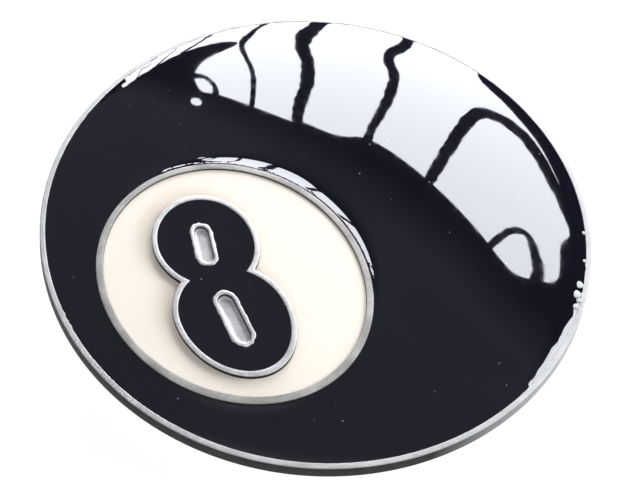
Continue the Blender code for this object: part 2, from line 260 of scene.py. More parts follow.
def slot_outline(slot, grow, steps=36, ragged=0.0):
    """A slot with round ends in one of the numeral's lobes. ragged is how uneven its rim is, which
    fades towards the inner side of its wall."""
    radius = slot["size"][0] / 2 + grow
    straight = slot["size"][1] / 2 - slot["size"][0] / 2
    uneven = ragged * max(1 + grow / SLOT_WALL, 0.1)
    flat = []
    for end, start in ((1, 0.0), (-1, math.pi)):
        for i in range(steps + 1):
            angle = start + math.pi * i / steps
            flat.append((radius * math.cos(angle), end * straight + radius * math.sin(angle)))
        for i in range(1, steps // 2):
            flat.append((-end * radius, end * straight * (1 - 4 * i / steps)))
    cosine, sine = math.cos(slot["lean"]), math.sin(slot["lean"])
    points = []
    for u, v in flat:
        grain = noise.noise(Vector((u, v, slot["centre"][1])) / RAGGED_LENGTH)
        stretch = 1 + uneven * grain / radius
        u, v = u * stretch, v * stretch
        points.append(from_spot(slot["centre"][0] + u * cosine - v * sine,
                                slot["centre"][1] + u * sine + v * cosine))
    return points


def smooth_curve(points, steps, closed=False):
    """A curve through the points (Catmull-Rom), with so many steps from each to the next."""
    if closed:
        line = [points[-1], *points, points[0], points[1]]
    else:
        line = [points[0], *points, points[-1]]
    line = [Vector(p) for p in line]
    curve = []
    for a, b, c, d in zip(line, line[1:], line[2:], line[3:]):
        for i in range(steps):
            t = i / steps
            curve.append((2 * b + (c - a) * t + (2 * a - 5 * b + 4 * c - d) * t * t
                          + (3 * b - a - 3 * c + d) * t ** 3) / 2)
    if not closed:
        curve.append(line[-1])
    return curve


# --- Mesh tools ---

def make_object(name, mesh, sharp_angle=35):
    """Turn a bmesh into an object with smooth shading, apart from edges sharper than the angle."""
    bmesh.ops.recalc_face_normals(mesh, faces=mesh.faces)
    data = bpy.data.meshes.new(name)
    mesh.to_mesh(data)
    mesh.free()
    data.shade_smooth()
    data.set_sharp_from_angle(angle=math.radians(sharp_angle))
    thing = bpy.data.objects.new(name, data)
    bpy.context.scene.collection.objects.link(thing)
    return thing


def lathe(profile, steps, centre=(0.0, 0.0)):
    """Spin a profile of (radius, z) points, which starts and ends on the axis."""
    mesh = bmesh.new()
    corners = [mesh.verts.new((centre[0] + r, centre[1], z)) for r, z in profile]
    edges = [mesh.edges.new(pair) for pair in zip(corners, corners[1:])]
    bmesh.ops.spin(mesh, geom=corners + edges, cent=(*centre, 0.0), axis=(0.0, 0.0, 1.0),
                   angle=2 * math.pi, steps=steps)
    bmesh.ops.remove_doubles(mesh, verts=mesh.verts, dist=WELD)
    return mesh


def join_loops(mesh, first, second):
    for i in range(len(first)):
        j = (i + 1) % len(first)
        mesh.faces.new((first[i], first[j], second[j], second[i]))


def loop_on_dome(mesh, outline, offset):
    """A loop of vertices along an outline, offset above the dome."""
    return [mesh.verts.new((x, y, float(dome_height(x, y)) + offset)) for x, y in outline]


def sweep_wall(outline, section, floor=False):
    """A solid wall along an outline. section lists (grow, height above the dome) round its
    section. With floor, the first and last loops are closed by faces, which makes a dish."""
    mesh = bmesh.new()
    loops = [loop_on_dome(mesh, outline(grow), offset) for grow, offset in section]
    for first, second in zip(loops, loops[1:]):
        join_loops(mesh, first, second)
    if floor:
        mesh.faces.new(loops[0])
        mesh.faces.new(loops[-1])
    else:
        join_loops(mesh, loops[-1], loops[0])
    return mesh


def rounded_top(inner, outer, top, edge=EDGE_ROUND):
    """Section points over the top of a wall, from its outer side to its inner side."""
    points = []
    for centre, start in ((outer - edge, 0.0), (inner + edge, math.pi / 2)):
        for i in range(EDGE_STEPS + 1):
            angle = start + math.pi / 2 * i / EDGE_STEPS
            points.append((centre + edge * math.cos(angle), top - edge + edge * math.sin(angle)))
    return points


# --- Enamel fills ---

def distance_to(loop, points):
    """Distance in plan from each point to a closed outline."""
    start = np.array(loop)
    step = np.roll(start, -1, axis=0) - start
    nearest = np.full(len(points), np.inf)
    for chunk in range(0, len(points), 2000):
        part = points[chunk:chunk + 2000, None, :] - start[None, :, :]
        share = np.clip((part * step).sum(2) / (step * step).sum(1), 0, 1)
        gap = np.linalg.norm(part - share[:, :, None] * step, axis=2)
        nearest[chunk:chunk + 2000] = gap.min(1)
    return nearest


def waves(points, length, seed):
    """Smooth noise at each point, with waves of about the given length."""
    offset = Vector((seed, 0.0, 0.0))
    return np.array([noise.noise(Vector((x, y, 0.0)) / length + offset) for x, y in points])


def inside(loop, points):
    """Which points lie inside a closed outline, by counting crossings."""
    result = np.zeros(len(points), bool)
    x, y = points[:, 0], points[:, 1]
    for (x0, y0), (x1, y1) in zip(loop, loop[1:] + loop[:1]):
        if y1 != y0:
            result ^= ((y0 > y) != (y1 > y)) & (x < (x1 - x0) * (y - y0) / (y1 - y0) + x0)
    return result


def scatter(outer, holes, coarse, fine, fine_reach):
    """Points over the area between an outline and the holes in it, closer together near them. How
    near is measured to every third point of a loop, which is enough here and quicker."""
    low, high = np.min(outer, axis=0), np.max(outer, axis=0)
    layers = []
    for spacing in (fine, coarse):
        rows = np.arange(low[1], high[1], spacing * math.sqrt(3) / 2)
        grid = np.array([(x + (spacing / 2 if i % 2 else 0), y)
                         for i, y in enumerate(rows) for x in np.arange(low[0], high[0], spacing)])
        keep = inside(outer, grid)
        for hole in holes:
            keep &= ~inside(hole, grid)
        grid = grid[keep]
        gap = np.min([distance_to(loop[::3], grid) for loop in (outer, *holes)], axis=0)
        if spacing == fine:
            layers.append(grid[(gap > fine * 0.5) & (gap < fine_reach)])
        else:
            layers.append(grid[gap >= fine_reach + fine * 0.5])
    return np.vstack(layers)


def poured_fill(name, outer, holes, surface, spacing):
    """A closed slab of enamel between an outline and the holes in it, with its top at surface."""
    loops = [outer, *holes]
    points = [Vector(p) for loop in loops for p in loop]
    edges, start = [], 0
    for loop in loops:
        count = len(loop)
        edges += [(start + i, start + (i + 1) % count) for i in range(count)]
        start += count
    points += [Vector(p) for p in scatter(outer, holes, *spacing)]
    flat, _, faces, *_ = delaunay_2d_cdt(points, edges, [], 0, 1e-9)
    plan = np.array([tuple(p) for p in flat])
    centres = np.array([plan[list(f)].mean(axis=0) for f in faces])
    used = inside(outer, centres)
    for hole in holes:
        used &= ~inside(hole, centres)
    faces = [tuple(f) for f, keep_face in zip(faces, used) if keep_face]

    top = surface(plan)
    bottom = dome_height(plan[:, 0], plan[:, 1]) - CELL_DEPTH
    count = len(plan)
    vertices = [(*p, z) for p, z in zip(plan, top)] + [(*p, z) for p, z in zip(plan, bottom)]
    underside = [tuple(count + i for i in reversed(f)) for f in faces]
    sides = {(a, b) for f in faces for a, b in zip(f, f[1:] + f[:1])}
    skirt = [(b, a, count + a, count + b) for a, b in sides if (b, a) not in sides]
    data = bpy.data.meshes.new(name)
    data.from_pydata(vertices, [], faces + underside + skirt)
    mesh = bmesh.new()
    mesh.from_mesh(data)
    bpy.data.meshes.remove(data)
    loose = [v for v in mesh.verts if not v.link_faces]
    bmesh.ops.delete(mesh, geom=loose, context="VERTS")
    return make_object(name, mesh, 50)


def towards(points, centre, bearing, width):
    """1 for points that lie about the given bearing from the centre, falling to 0 elsewhere."""
    turn = np.arctan2(points[:, 1] - centre[1], points[:, 0] - centre[0]) - bearing
    turn = (turn + math.pi) % (2 * math.pi) - math.pi
    return np.exp(-(turn / width) ** 4)


def between(least, share):
    """From least, where share is 0, to 1, where share is 1."""
    return least + (1 - least) * share


def field_surface(points):
    """Black enamel climbs the ring. Near the rim it swells, then rolls off a little unevenly."""
    height = dome_height(points[:, 0], points[:, 1]) + FIELD_LEVEL
    climb = RING_CLIMB * between(LEAST_CLIMB, towards(points, from_spot(0, 0), *FULL_CLIMB))
    height += climb * np.exp(-distance_to(spot_outline(RING_WIDTH), points) / RING_REACH)
    from_rim = RIM_INNER_RADIUS - np.hypot(points[:, 0], points[:, 1])
    full = sum(towards(points, (0, 0), *part) for part in FULL_ROLLS)
    roll = RIM_ROLL * between(LEAST_ROLL, full)
    height += RIM_BULGE * roll * np.exp(-(from_rim / BULGE_REACH) ** 2)
    uneven = 1 + ROLL_UNEVEN * waves(points, ROLL_WAVE_LENGTH, ROLL_WAVES)
    height -= roll * uneven * np.exp(-from_rim / RIM_REACH)
    return height + WAVE_HEIGHT * waves(points, WAVE_LENGTH, FIELD_WAVES)


def walled_surface(level, climb, walls, seed):
    """Enamel that climbs the walls round it."""
    def surface(points):
        height = dome_height(points[:, 0], points[:, 1]) + level
        for wall in walls:
            height += climb * np.exp(-distance_to(wall, points) / WALL_REACH)
        return height + WAVE_HEIGHT * waves(points, WAVE_LENGTH, seed)
    return surface


# --- Materials ---

# Dark of the upright sides: partly real patina, partly painted shade.
PATINA_AND_SHADE_DARK = (0.012, 0.009, 0.008)
PATINA_AND_SHADE_LIGHT = (0.030, 0.025, 0.022)
CAST_ROUGHNESS_SPREAD = 0.08
STEEL_DARK = (0.42, 0.42, 0.41)
STEEL_LIGHT = (0.56, 0.555, 0.54)
ENAMEL_IOR = 1.68
BLACK = (0.006, 0.006, 0.011)
BLACK_CLOUD = (0.004, 0.004, 0.008)
PALE_DUST = (0.35, 0.35, 0.36)
CREAM = (0.93, 0.84, 0.715)
CREAM_CLOUD = (0.91, 0.82, 0.695)
BROWN_DUST = (0.78, 0.70, 0.58)
# Painted shadow: a brown tint on the cream beside the numeral, where its raised wall shades it.
PAINTED_SHADOW_COLOUR = (0.66, 0.55, 0.43)
PAINTED_SHADOW_SHARE = 0.5                    # how much of the painted shadow shows next to the numeral
DUST_GRID = 330                         # cells per metre, of which some hold a speck of dust
DUST_SIZE = 0.08 * MM


class Tree:
    """Short calls for building a material's or the world's nodes."""

    def __init__(self, nodes_of):
        nodes_of.use_nodes = True
        self.tree = nodes_of.node_tree

    def node(self, kind, **settings):
        made = self.tree.nodes.new(kind)
        for key, value in settings.items():
            setattr(made, key, value)
        return made

    def link(self, source, target):
        self.tree.links.new(source, target)

    def shader(self):
        return self.tree.nodes["Principled BSDF"]

    def coordinates(self):
        found = self.tree.nodes.get("Coordinates")
        if not found:
            found = self.node("ShaderNodeTexCoord")
            found.name = "Coordinates"
        return found.outputs["Object"]

    def noise(self, scale, detail):
        """Noise from 0 to 1, with about scale waves in a metre."""
        made = self.node("ShaderNodeTexNoise")
        made.inputs["Scale"].default_value = scale
        made.inputs["Detail"].default_value = detail
        self.link(self.coordinates(), made.inputs["Vector"])
        return made.outputs["Fac"]

    def ramp(self, source, stops):
        made = self.node("ShaderNodeValToRGB")
        elements = made.color_ramp.elements
        while len(elements) < len(stops):
            elements.new(0.5)
        for element, (position, colour) in zip(elements, stops):
            element.position = position
            element.color = (*colour, 1.0)
        self.link(source, made.inputs["Fac"])
        return made.outputs["Color"]

    def map_range(self, source, from_low, from_high, to_low, to_high):
        made = self.node("ShaderNodeMapRange")
        for key, value in (("From Min", from_low), ("From Max", from_high),
                           ("To Min", to_low), ("To Max", to_high)):
            made.inputs[key].default_value = value
        self.link(source, made.inputs["Value"])
        return made.outputs["Result"]

    def mix(self, factor, first, second):
        made = self.node("ShaderNodeMix", data_type="RGBA")
        self.link(factor, made.inputs["Factor"])
        for value, socket in ((first, made.inputs["A"]), (second, made.inputs["B"])):
            if isinstance(value, tuple):
                socket.default_value = (*value, 1.0)
            else:
                self.link(value, socket)
        return made.outputs["Result"]

    def maths(self, operation, first, second=0.0):
        made = self.node("ShaderNodeMath", operation=operation)
        for value, socket in ((first, made.inputs[0]), (second, made.inputs[1])):
            if isinstance(value, (int, float)):
                socket.default_value = value
            else:
                self.link(value, socket)
        return made.outputs[0]

    def bump(self, height, strength, distance):
        made = self.node("ShaderNodeBump")
        made.inputs["Strength"].default_value = strength
        made.inputs["Distance"].default_value = distance
        self.link(height, made.inputs["Height"])
        self.link(made.outputs["Normal"], self.shader().inputs["Normal"])

    def specks(self, scale, size, share):
        """A mask of small dots scattered over the face, one in some of the cells of a grid."""
        cells = self.node("ShaderNodeTexVoronoi", voronoi_dimensions="2D")
        cells.inputs["Scale"].default_value = scale
        self.link(self.coordinates(), cells.inputs["Vector"])
        pick = self.node("ShaderNodeSeparateColor")
        self.link(cells.outputs["Color"], pick.inputs[0])
        radius = self.map_range(pick.outputs[0], 1 - share, 1.0, 0.0, size * scale)
        return self.maths("LESS_THAN", cells.outputs["Distance"], radius)


def new_material(name, metallic, roughness, colour=(0.5, 0.5, 0.5)):
    """A plain material, and the Tree that its other nodes are added to."""
    material = bpy.data.materials.new(name)
    tree = Tree(material)
    tree.shader().inputs["Metallic"].default_value = metallic
    tree.shader().inputs["Roughness"].default_value = roughness
    tree.shader().inputs["Base Color"].default_value = (*colour, 1.0)
    return material, tree


def pewter_material(name, dark, light, roughness, lighter_side=False):
    """Satin cast metal with a fine grain, and a dull dark patina on its upright sides, partly real
    patina and partly painted shade. Given the flag, that dark is thinned towards one side of the
    rim at the bearing set above: painted light, where the light falls on that side."""
    material, tree = new_material(name, 1.0, 0.5)
    grain = tree.noise(3200, 4)
    cloud = tree.maths("MULTIPLY", tree.maths("ADD", grain, tree.noise(300, 3)), 0.5)
    bright = tree.ramp(cloud, [(0.38, dark), (0.62, light)])
    # dark on upright faces, partly real patina and partly painted shade
    patina_and_shade = tree.ramp(tree.noise(600, 5), [(0.35, PATINA_AND_SHADE_DARK), (0.75, PATINA_AND_SHADE_LIGHT)])
    facing = tree.node("ShaderNodeSeparateXYZ")
    tree.link(tree.node("ShaderNodeNewGeometry").outputs["Normal"], facing.inputs[0])
    upright = tree.map_range(tree.maths("ABSOLUTE", facing.outputs[2]), 0.25, 0.70, 1.0, 0.0)
    # painted light: the dark is thinned on the side of the rim where the light falls
    if lighter_side:
        along = tree.node("ShaderNodeVectorMath", operation="DOT_PRODUCT")
        along.inputs[1].default_value = (math.cos(LIGHTER_SIDE_BEARING), math.sin(LIGHTER_SIDE_BEARING), 0.0)
        tree.link(tree.coordinates(), along.inputs[0])
        kept = tree.map_range(along.outputs["Value"], *LIGHTER_SIDE_SPAN, 1.0, 0.1)
        upright = tree.maths("MULTIPLY", upright, kept)
    tree.link(tree.mix(upright, bright, patina_and_shade), tree.shader().inputs["Base Color"])
    tree.link(tree.map_range(upright, 0.0, 1.0, 1.0, 0.0), tree.shader().inputs["Metallic"])
    smoothest, roughest = roughness - CAST_ROUGHNESS_SPREAD, roughness + CAST_ROUGHNESS_SPREAD
    tree.link(tree.map_range(grain, 0.3, 0.7, smoothest, roughest),
              tree.shader().inputs["Roughness"])
    tree.shader().inputs["Specular IOR Level"].default_value = 0.15
    tree.bump(grain, 0.15, 0.03 * MM)
    return material


def steel_material():
    """Nickel-plated steel with faint handling marks."""
    material, tree = new_material("plated_steel", 1.0, 0.3)
    colour = tree.ramp(tree.noise(400, 4), [(0.3, STEEL_DARK), (0.7, STEEL_LIGHT)])
    tree.link(colour, tree.shader().inputs["Base Color"])
    marks = tree.noise(2500, 5)
    tree.link(tree.map_range(marks, 0.3, 0.7, 0.24, 0.42), tree.shader().inputs["Roughness"])
    tree.bump(marks, 0.1, 0.02 * MM)
    return material


def enamel_material(name, colour, cloud, dust, share):
    """Glassy enamel, slightly cloudy, with dust set in a share of the cells of a grid. The
    material, its nodes and its colour are returned."""
    material, tree = new_material(name, 0.0, 0.03, colour)
    tree.shader().inputs["IOR"].default_value = ENAMEL_IOR
    base = tree.mix(tree.noise(120, 4), cloud, colour)
    return material, tree, tree.mix(tree.specks(DUST_GRID, DUST_SIZE, share), base, dust)


def black_enamel_material():
    """Black enamel, a little less glossy in places."""
    material, tree, base = enamel_material("black_enamel", BLACK, BLACK_CLOUD, PALE_DUST, 0.18)
    tree.link(base, tree.shader().inputs["Base Color"])
    tree.link(tree.map_range(tree.noise(900, 3), 0.3, 0.8, 0.015, 0.045),
              tree.shader().inputs["Roughness"])
    return material


def cream_enamel_material():
    """Cream enamel, with a painted brown shadow where its mesh's shade attribute says."""
    material, tree, base = enamel_material("cream_enamel", CREAM, CREAM_CLOUD, BROWN_DUST, 0.02)
    shade = tree.node("ShaderNodeAttribute", attribute_name="shade")
    # painted shadow: the cream is tinted brown beside the numeral
    painted_shadow = tree.map_range(shade.outputs["Fac"], 0.0, 1.0, 0.0, PAINTED_SHADOW_SHARE)
    tree.link(tree.mix(painted_shadow, base, PAINTED_SHADOW_COLOUR), tree.shader().inputs["Base Color"])
    tree.shader().inputs["Roughness"].default_value = 0.08
    return material


# --- Pieces of the face ---

def place(piece, node, material, body="buckle"):
    """Give a piece its material, the CAD node that it replaces and its body."""
    piece.data.materials.clear()
    piece.data.materials.append(material)
    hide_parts(node)
    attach(piece, body)


def quarter(radius, height, edge, start):
    """Points of a rounded edge, a quarter turn clockwise from the angle start."""
    turns = [start - math.pi / 2 * i / EDGE_STEPS for i in range(EDGE_STEPS + 1)]
    return [(radius + edge * math.cos(a), height + edge * math.sin(a)) for a in turns]


def nick(bearing):
    """How far the land's inner edge stands inward at a bearing."""
    total = 0.0
    for centre, spread in NICKS:
        away = (bearing - centre + math.pi) % (2 * math.pi) - math.pi
        rough = noise.noise(Vector((bearing * RIM_INNER_RADIUS / RAGGED_LENGTH, 0.0, 0.0)))
        total += max(0.0, 0.2 + rough) * math.exp(-(away / spread) ** 2)
    return NICK_DEPTH * total


def roughen_inner_edge(mesh):
    """Make the land's inner edge ragged where NICKS says."""
    for vertex in mesh.verts:
        radius = math.hypot(vertex.co.x, vertex.co.y)
        at_edge = RIM_INNER_RADIUS - HOLD < radius < RIM_INNER_RADIUS + EDGE_ROUND + 2 * HOLD
        if at_edge and vertex.co.z > RIM_TOP - 2 * EDGE_ROUND:
            inward = 1 - nick(math.atan2(vertex.co.y, vertex.co.x)) / radius
            vertex.co.x *= inward
            vertex.co.y *= inward


def make_rim_and_shell(material):
    """The rim, and the shell under the enamel with its hollow back."""
    drop = -CELL_DEPTH - SHELL
    level = SPHERE_RADIUS - DOME_RISE - RIM_TOP + BACK_PLANE - drop
    hollow_radius = math.sqrt(SPHERE_RADIUS ** 2 - level ** 2)
    hollow_steps = 24
    e = EDGE_ROUND
    cell_floor = [RIM_INNER_RADIUS * share for share in (0.0, 0.33, 0.67, 1.0)]
    profile = [(r, float(dome_height(r, 0)) - CELL_DEPTH) for r in cell_floor]
    profile += quarter(RIM_INNER_RADIUS + e, RIM_TOP - e, e, math.pi)
    profile += [(RIM_INNER_RADIUS + e + HOLD, RIM_TOP), (RIM_TOP_RADIUS - e - HOLD, RIM_TOP)]
    profile += quarter(RIM_TOP_RADIUS - e, RIM_TOP - e, e, math.pi / 2)
    profile += quarter(RIM_BASE_RADIUS - e, BACK_PLANE + e, e, 0.0)
    profile += [(r, BACK_PLANE) for r in (RIM_BASE_RADIUS - e - HOLD, hollow_radius + HOLD)]
    radii = [hollow_radius * (1 - i / hollow_steps) for i in range(hollow_steps + 1)]
    profile += [(r, float(dome_height(r, 0)) + drop) for r in radii]
    mesh = lathe(profile, 1080)
    roughen_inner_edge(mesh)
    place(make_object("rim_and_shell", mesh), "buckle_casting", material)


def make_burrs(material):
    """Low round beads of cast metal, rooted in the enamel beside the rim."""
    steps = 8
    turns = [math.pi / 2 * i / steps for i in range(steps + 1)]
    for i, (bearing, radius, size) in enumerate(BURRS):
        centre = (radius * math.cos(bearing), radius * math.sin(bearing))
        level = field_surface(np.array([centre]))[0]
        profile = [(0, level - BURR_ROOT), (size, level - BURR_ROOT)]
        profile += [(size * math.cos(a), level + BURR_HEIGHT * math.sin(a)) for a in turns]
        burr = make_object(f"burr_{i}", lathe(profile, 24, centre), CAST_SHARP)
        place(burr, "buckle_casting", material)


def make_walls(ring_metal, lit_numeral_metal):
    """The ring round the spot, the numeral's outline, and the rims and floors of its slots."""
    root = -CELL_DEPTH - SHELL / 2
    walls = (
        ("spot_ring", spot_outline, RING_WIDTH, RING_PROUD, ring_metal),
        ("numeral_wall", numeral_outline, NUMERAL_WALL, NUMERAL_TOP, lit_numeral_metal),
    )
    for name, outline, width, top, metal in walls:
        section = [(width, root)] + rounded_top(0, width, top) + [(0, root)]
        wall = make_object(name, sweep_wall(outline, section), CAST_SHARP)
        place(wall, "buckle_casting", metal)
    for i, slot in enumerate(SLOTS):
        floor = NUMERAL_TOP - SLOT_DEPTH
        half = slot["size"][0] / 2
        section = [(0, root)] + rounded_top(-0.9 * SLOT_WALL, 0, NUMERAL_TOP, SLOT_EDGE)
        section += [(-0.95 * SLOT_WALL, floor + 0.1 * MM), (-1.1 * SLOT_WALL, floor)]
        section += [(-half * share, floor) for share in (0.7, 0.85, 0.96)]
        dish = sweep_wall(lambda grow, slot=slot: slot_outline(slot, grow, ragged=SLOT_RAGGED),
                          section, floor=True)
        place(make_object(f"slot_{i}", dish, CAST_SHARP), "buckle_casting",
              lit_numeral_metal)


def shade_beside_numeral(data):
    """Store how near each point is to the numeral's outline moved by SHADE_OFFSET, for the painted
    shadow on the cream beside it."""
    points = np.array([tuple(v.co.xy) for v in data.vertices])
    moved = [(x + SHADE_OFFSET[0], y + SHADE_OFFSET[1]) for x, y in numeral_outline(NUMERAL_WALL)]
    gap = np.where(inside(moved, points), 0.0, distance_to(moved, points))
    shade = data.attributes.new("shade", "FLOAT", "POINT")
    shade.data.foreach_set("value", np.exp(-(gap / SHADE_REACH) ** 2))


def make_enamel(black, cream):
    """The three fills of enamel. Each goes on a little way inside the metal round it."""
    under = UNDER_WALL
    field = poured_fill("field", circle_outline(RIM_INNER_RADIUS + under, 900),
                        [spot_outline(RING_WIDTH - under)], field_surface, FIELD_SPACING)
    place(field, "field_enamel", black)
    walls = [spot_outline(0), numeral_outline(NUMERAL_WALL)]
    spot = poured_fill("spot", spot_outline(under), [numeral_outline(NUMERAL_WALL - under)],
                       walled_surface(SPOT_LEVEL, SPOT_CLIMB, walls, SPOT_WAVES), SPOT_SPACING)
    shade_beside_numeral(spot.data)
    place(spot, "spot_enamel", cream)
    holes = [slot_outline(slot, -2 * under) for slot in SLOTS]
    walls = [numeral_outline(0)] + [slot_outline(slot, 0) for slot in SLOTS]
    numeral = poured_fill("numeral", numeral_outline(under), holes,
                          walled_surface(NUMERAL_LEVEL, NUMERAL_CLIMB, walls, NUMERAL_WAVES),
                          NUMERAL_SPACING)
    place(numeral, "numeral_enamel", black)


# --- Pieces of the back ---

def extrude_along_y(outer, hole, caps, low, high, edge):
    """A bar with a constant side view, (x, z) points. caps lists the faces of its ends by index
    into outer + hole. Its sharp edges are rounded a little."""
    gentle = math.radians(40)
    mesh = bmesh.new()
    ends = [[mesh.verts.new((x, y, z)) for x, z in outer + hole] for y in (low, high)]
    for end in ends:
        for cap in caps:
            mesh.faces.new([end[i] for i in cap])
    split = len(outer)
    join_loops(mesh, ends[0][:split], ends[1][:split])
    if hole:
        join_loops(mesh, ends[0][split:], ends[1][split:])
    bmesh.ops.recalc_face_normals(mesh, faces=mesh.faces)
    sharp = [e for e in mesh.edges if len(e.link_faces) == 2 and e.calc_face_angle(0.0) > gentle]
    bmesh.ops.bevel(mesh, geom=sharp, offset=edge, segments=3, profile=0.5, affect="EDGES")
    return mesh


def block(low, high, edge):
    """A box with rounded edges."""
    outline = [(low[0], low[2]), (high[0], low[2]), (high[0], high[2]), (low[0], high[2])]
    return extrude_along_y(outline, [], [(0, 1, 2, 3)], low[1], high[1], edge)


def make_pads(material):
    """Cast pads on the hollow's roof that carry the clip and the stud."""
    e = 0.5 * MM
    for side in (-1, 1):
        near, far = sorted(side * y for y in PAD_SPAN)
        pad = block((PAD_EDGES[0], near, BACK_PLANE), (PAD_EDGES[1], far, PAD_ROOT), e)
        place(make_object(f"clip_pad_{side}", pad), "buckle_casting", material)
    profile = [(0, STUD_PAD_FACE), (STUD_PAD_RADIUS - e, STUD_PAD_FACE)]
    profile += quarter(STUD_PAD_RADIUS - e, STUD_PAD_FACE + e, e, 0.0)[::-1]
    profile += [(STUD_PAD_RADIUS, STUD_PAD_ROOT), (0, STUD_PAD_ROOT)]
    place(make_object("stud_pad", lathe(profile, 64, STUD_PLACE)), "buckle_casting",
          material)


def make_bail(material):
    """Closed loop of round wire, hanging from the hinge bar."""
    corner_steps = 16
    wire_steps = 28
    half_width_y = BAIL_INSIDE / 2 + WIRE_RADIUS
    corners = (
        (-BAIL_CORNER, half_width_y - BAIL_CORNER, 0.0),
        (-BAIL_REACH + BAIL_CORNER, half_width_y - BAIL_CORNER, math.pi / 2),
        (-BAIL_REACH + BAIL_CORNER, BAIL_CORNER - half_width_y, math.pi),
        (-BAIL_CORNER, BAIL_CORNER - half_width_y, 3 * math.pi / 2),
    )
    hang = Matrix.Translation((HINGE_X, 0.0, HINGE_Z)) @ Matrix.Rotation(-BAIL_REST, 4, "Y")
    mesh = bmesh.new()
    rings = []
    for x, y, start in corners:
        for i in range(corner_steps + 1):
            turn = start + math.pi / 2 * i / corner_steps
            outward = Vector((math.cos(turn), math.sin(turn), 0.0))
            middle = Vector((x, y, 0.0)) + outward * BAIL_CORNER
            ring = []
            for j in range(wire_steps):
                angle = 2 * math.pi * j / wire_steps
                lift = Vector((0.0, 0.0, math.sin(angle)))
                point = middle + WIRE_RADIUS * (math.cos(angle) * outward + lift)
                ring.append(mesh.verts.new(hang @ point))
            rings.append(ring)
    for first, second in zip(rings, rings[1:] + rings[:1]):
        join_loops(mesh, first, second)
    place(make_object("bail", mesh), "bail_loop", material, "bail")


def make_clip(material):
    """Strap folded round the hinge bar, with a seam between the two layers of its tail. Its end
    faces are a strip of quads round the barrel, and one face where the tail joins it."""
    steps = 48
    closing_steps = 8
    seam = 0.02 * MM
    edge = 0.12 * MM
    lip = HINGE_X + 2.5 * MM
    inner_level = BARREL_RADIUS - STRAP
    start = math.radians(62)
    end = 2 * math.pi + math.asin((BARREL_RADIUS - 2 * STRAP) / BARREL_RADIUS)
    turns = [start + (end - start) * i / steps for i in range(steps + 1)]
    last = 2 * math.pi + start
    closing = [end + (last - end) * i / closing_steps for i in range(1, closing_steps)]

    def around(radius, angles):
        return [(HINGE_X + radius * math.cos(a), HINGE_Z + radius * math.sin(a)) for a in angles]

    tail = HINGE_X + CLIP_TAIL
    under = HINGE_Z + BARREL_RADIUS - 2 * STRAP
    top = HINGE_Z + inner_level - seam
    fold = around(BARREL_RADIUS, turns) + [(tail, under), (tail, top), (lip, top)]
    bore = around(BORE_RADIUS, turns + closing)
    count = len(fold)
    caps = [(i, i + 1, count + i + 1, count + i) for i in range(steps)]
    neck = list(range(steps, count)) + [0, count]
    neck += list(range(count + len(bore) - 1, count + steps - 1, -1))
    caps.append(tuple(neck))
    half = CLIP_LENGTH / 2
    mesh = extrude_along_y(fold, bore, caps, -half, half, edge)
    place(make_object("clip_fold", mesh), "bail_clip", material)
    layer = block((HINGE_X, -half, HINGE_Z + inner_level + seam),
                  (tail, half, HINGE_Z + BARREL_RADIUS), edge)
    place(make_object("clip_layer", layer), "bail_clip", material)


def make_rivets(material):
    """Rivets with domed heads, which hold the clip to its pads."""
    steps = 12
    turns = [math.pi / 2 * i / steps for i in range(steps + 1)]
    rivet = [(RIVET_HEAD * math.sin(a), RIVET_HEAD_TOP - RIVET_HEAD_HEIGHT * math.cos(a))
             for a in turns]
    rivet += [(RIVET_SHANK, RIVET_HEAD_TOP), (RIVET_SHANK, RIVET_TOP), (0, RIVET_TOP)]
    for node, centre in RIVET_PLACES.items():
        place(make_object(node + "_smooth", lathe(rivet, 48, centre)), node,
              material)


def make_stud(material):
    """Hook stud with a knob for the belt's holes, a neck, and a shoulder against its pad."""
    half_turn_steps = 30
    knob_steps = 26                     # the knob stops short of closing, at the neck
    middle = STUD_HEAD_HEIGHT / 2
    turns = [math.pi * i / half_turn_steps for i in range(knob_steps)]
    stud = [(STUD_HEAD * math.sin(a), middle - middle * math.cos(a)) for a in turns]
    radius, underside, top = STUD_SHOULDER
    e = 0.15 * MM
    stud += [(STUD_NECK + e, STUD_HEAD_HEIGHT), (STUD_NECK, STUD_HEAD_HEIGHT + 2 * e)]
    stud += [(STUD_NECK, underside - 2 * e), (STUD_NECK + e, underside - e / 3)]
    stud += quarter(radius - e, underside + e, e, 0.0)[::-1]
    stud += quarter(radius - e, top - e, e, math.pi / 2)[::-1]
    stud += [(STUD_SHANK, top), (STUD_SHANK, STUD_TOP), (0, STUD_TOP)]
    place(make_object("stud", lathe(stud, 64, STUD_PLACE)), "hook_stud", material)


# --- Stage ---

def make_camera():
    """View from 53 degrees above the face, close by, as a small product is photographed."""
    camera = bpy.data.objects.new("camera", bpy.data.cameras.new("camera"))
    camera.data.lens = 63.87
    camera.data.sensor_width = 36.0
    camera.data.clip_start = 0.01
    right = Vector((0.9593, -0.2743, 0.0670))
    down = Vector((-0.1899, -0.8023, -0.5659))
    forward = Vector((0.2090, 0.5301, -0.8218))
    matrix = Matrix((right, -down, -forward)).transposed().to_4x4()
    matrix.translation = Vector((-33.19 * MM, -82.40 * MM, 127.05 * MM))
    camera.matrix_world = matrix
    bpy.context.scene.collection.objects.link(camera)
    bpy.context.scene.camera = camera


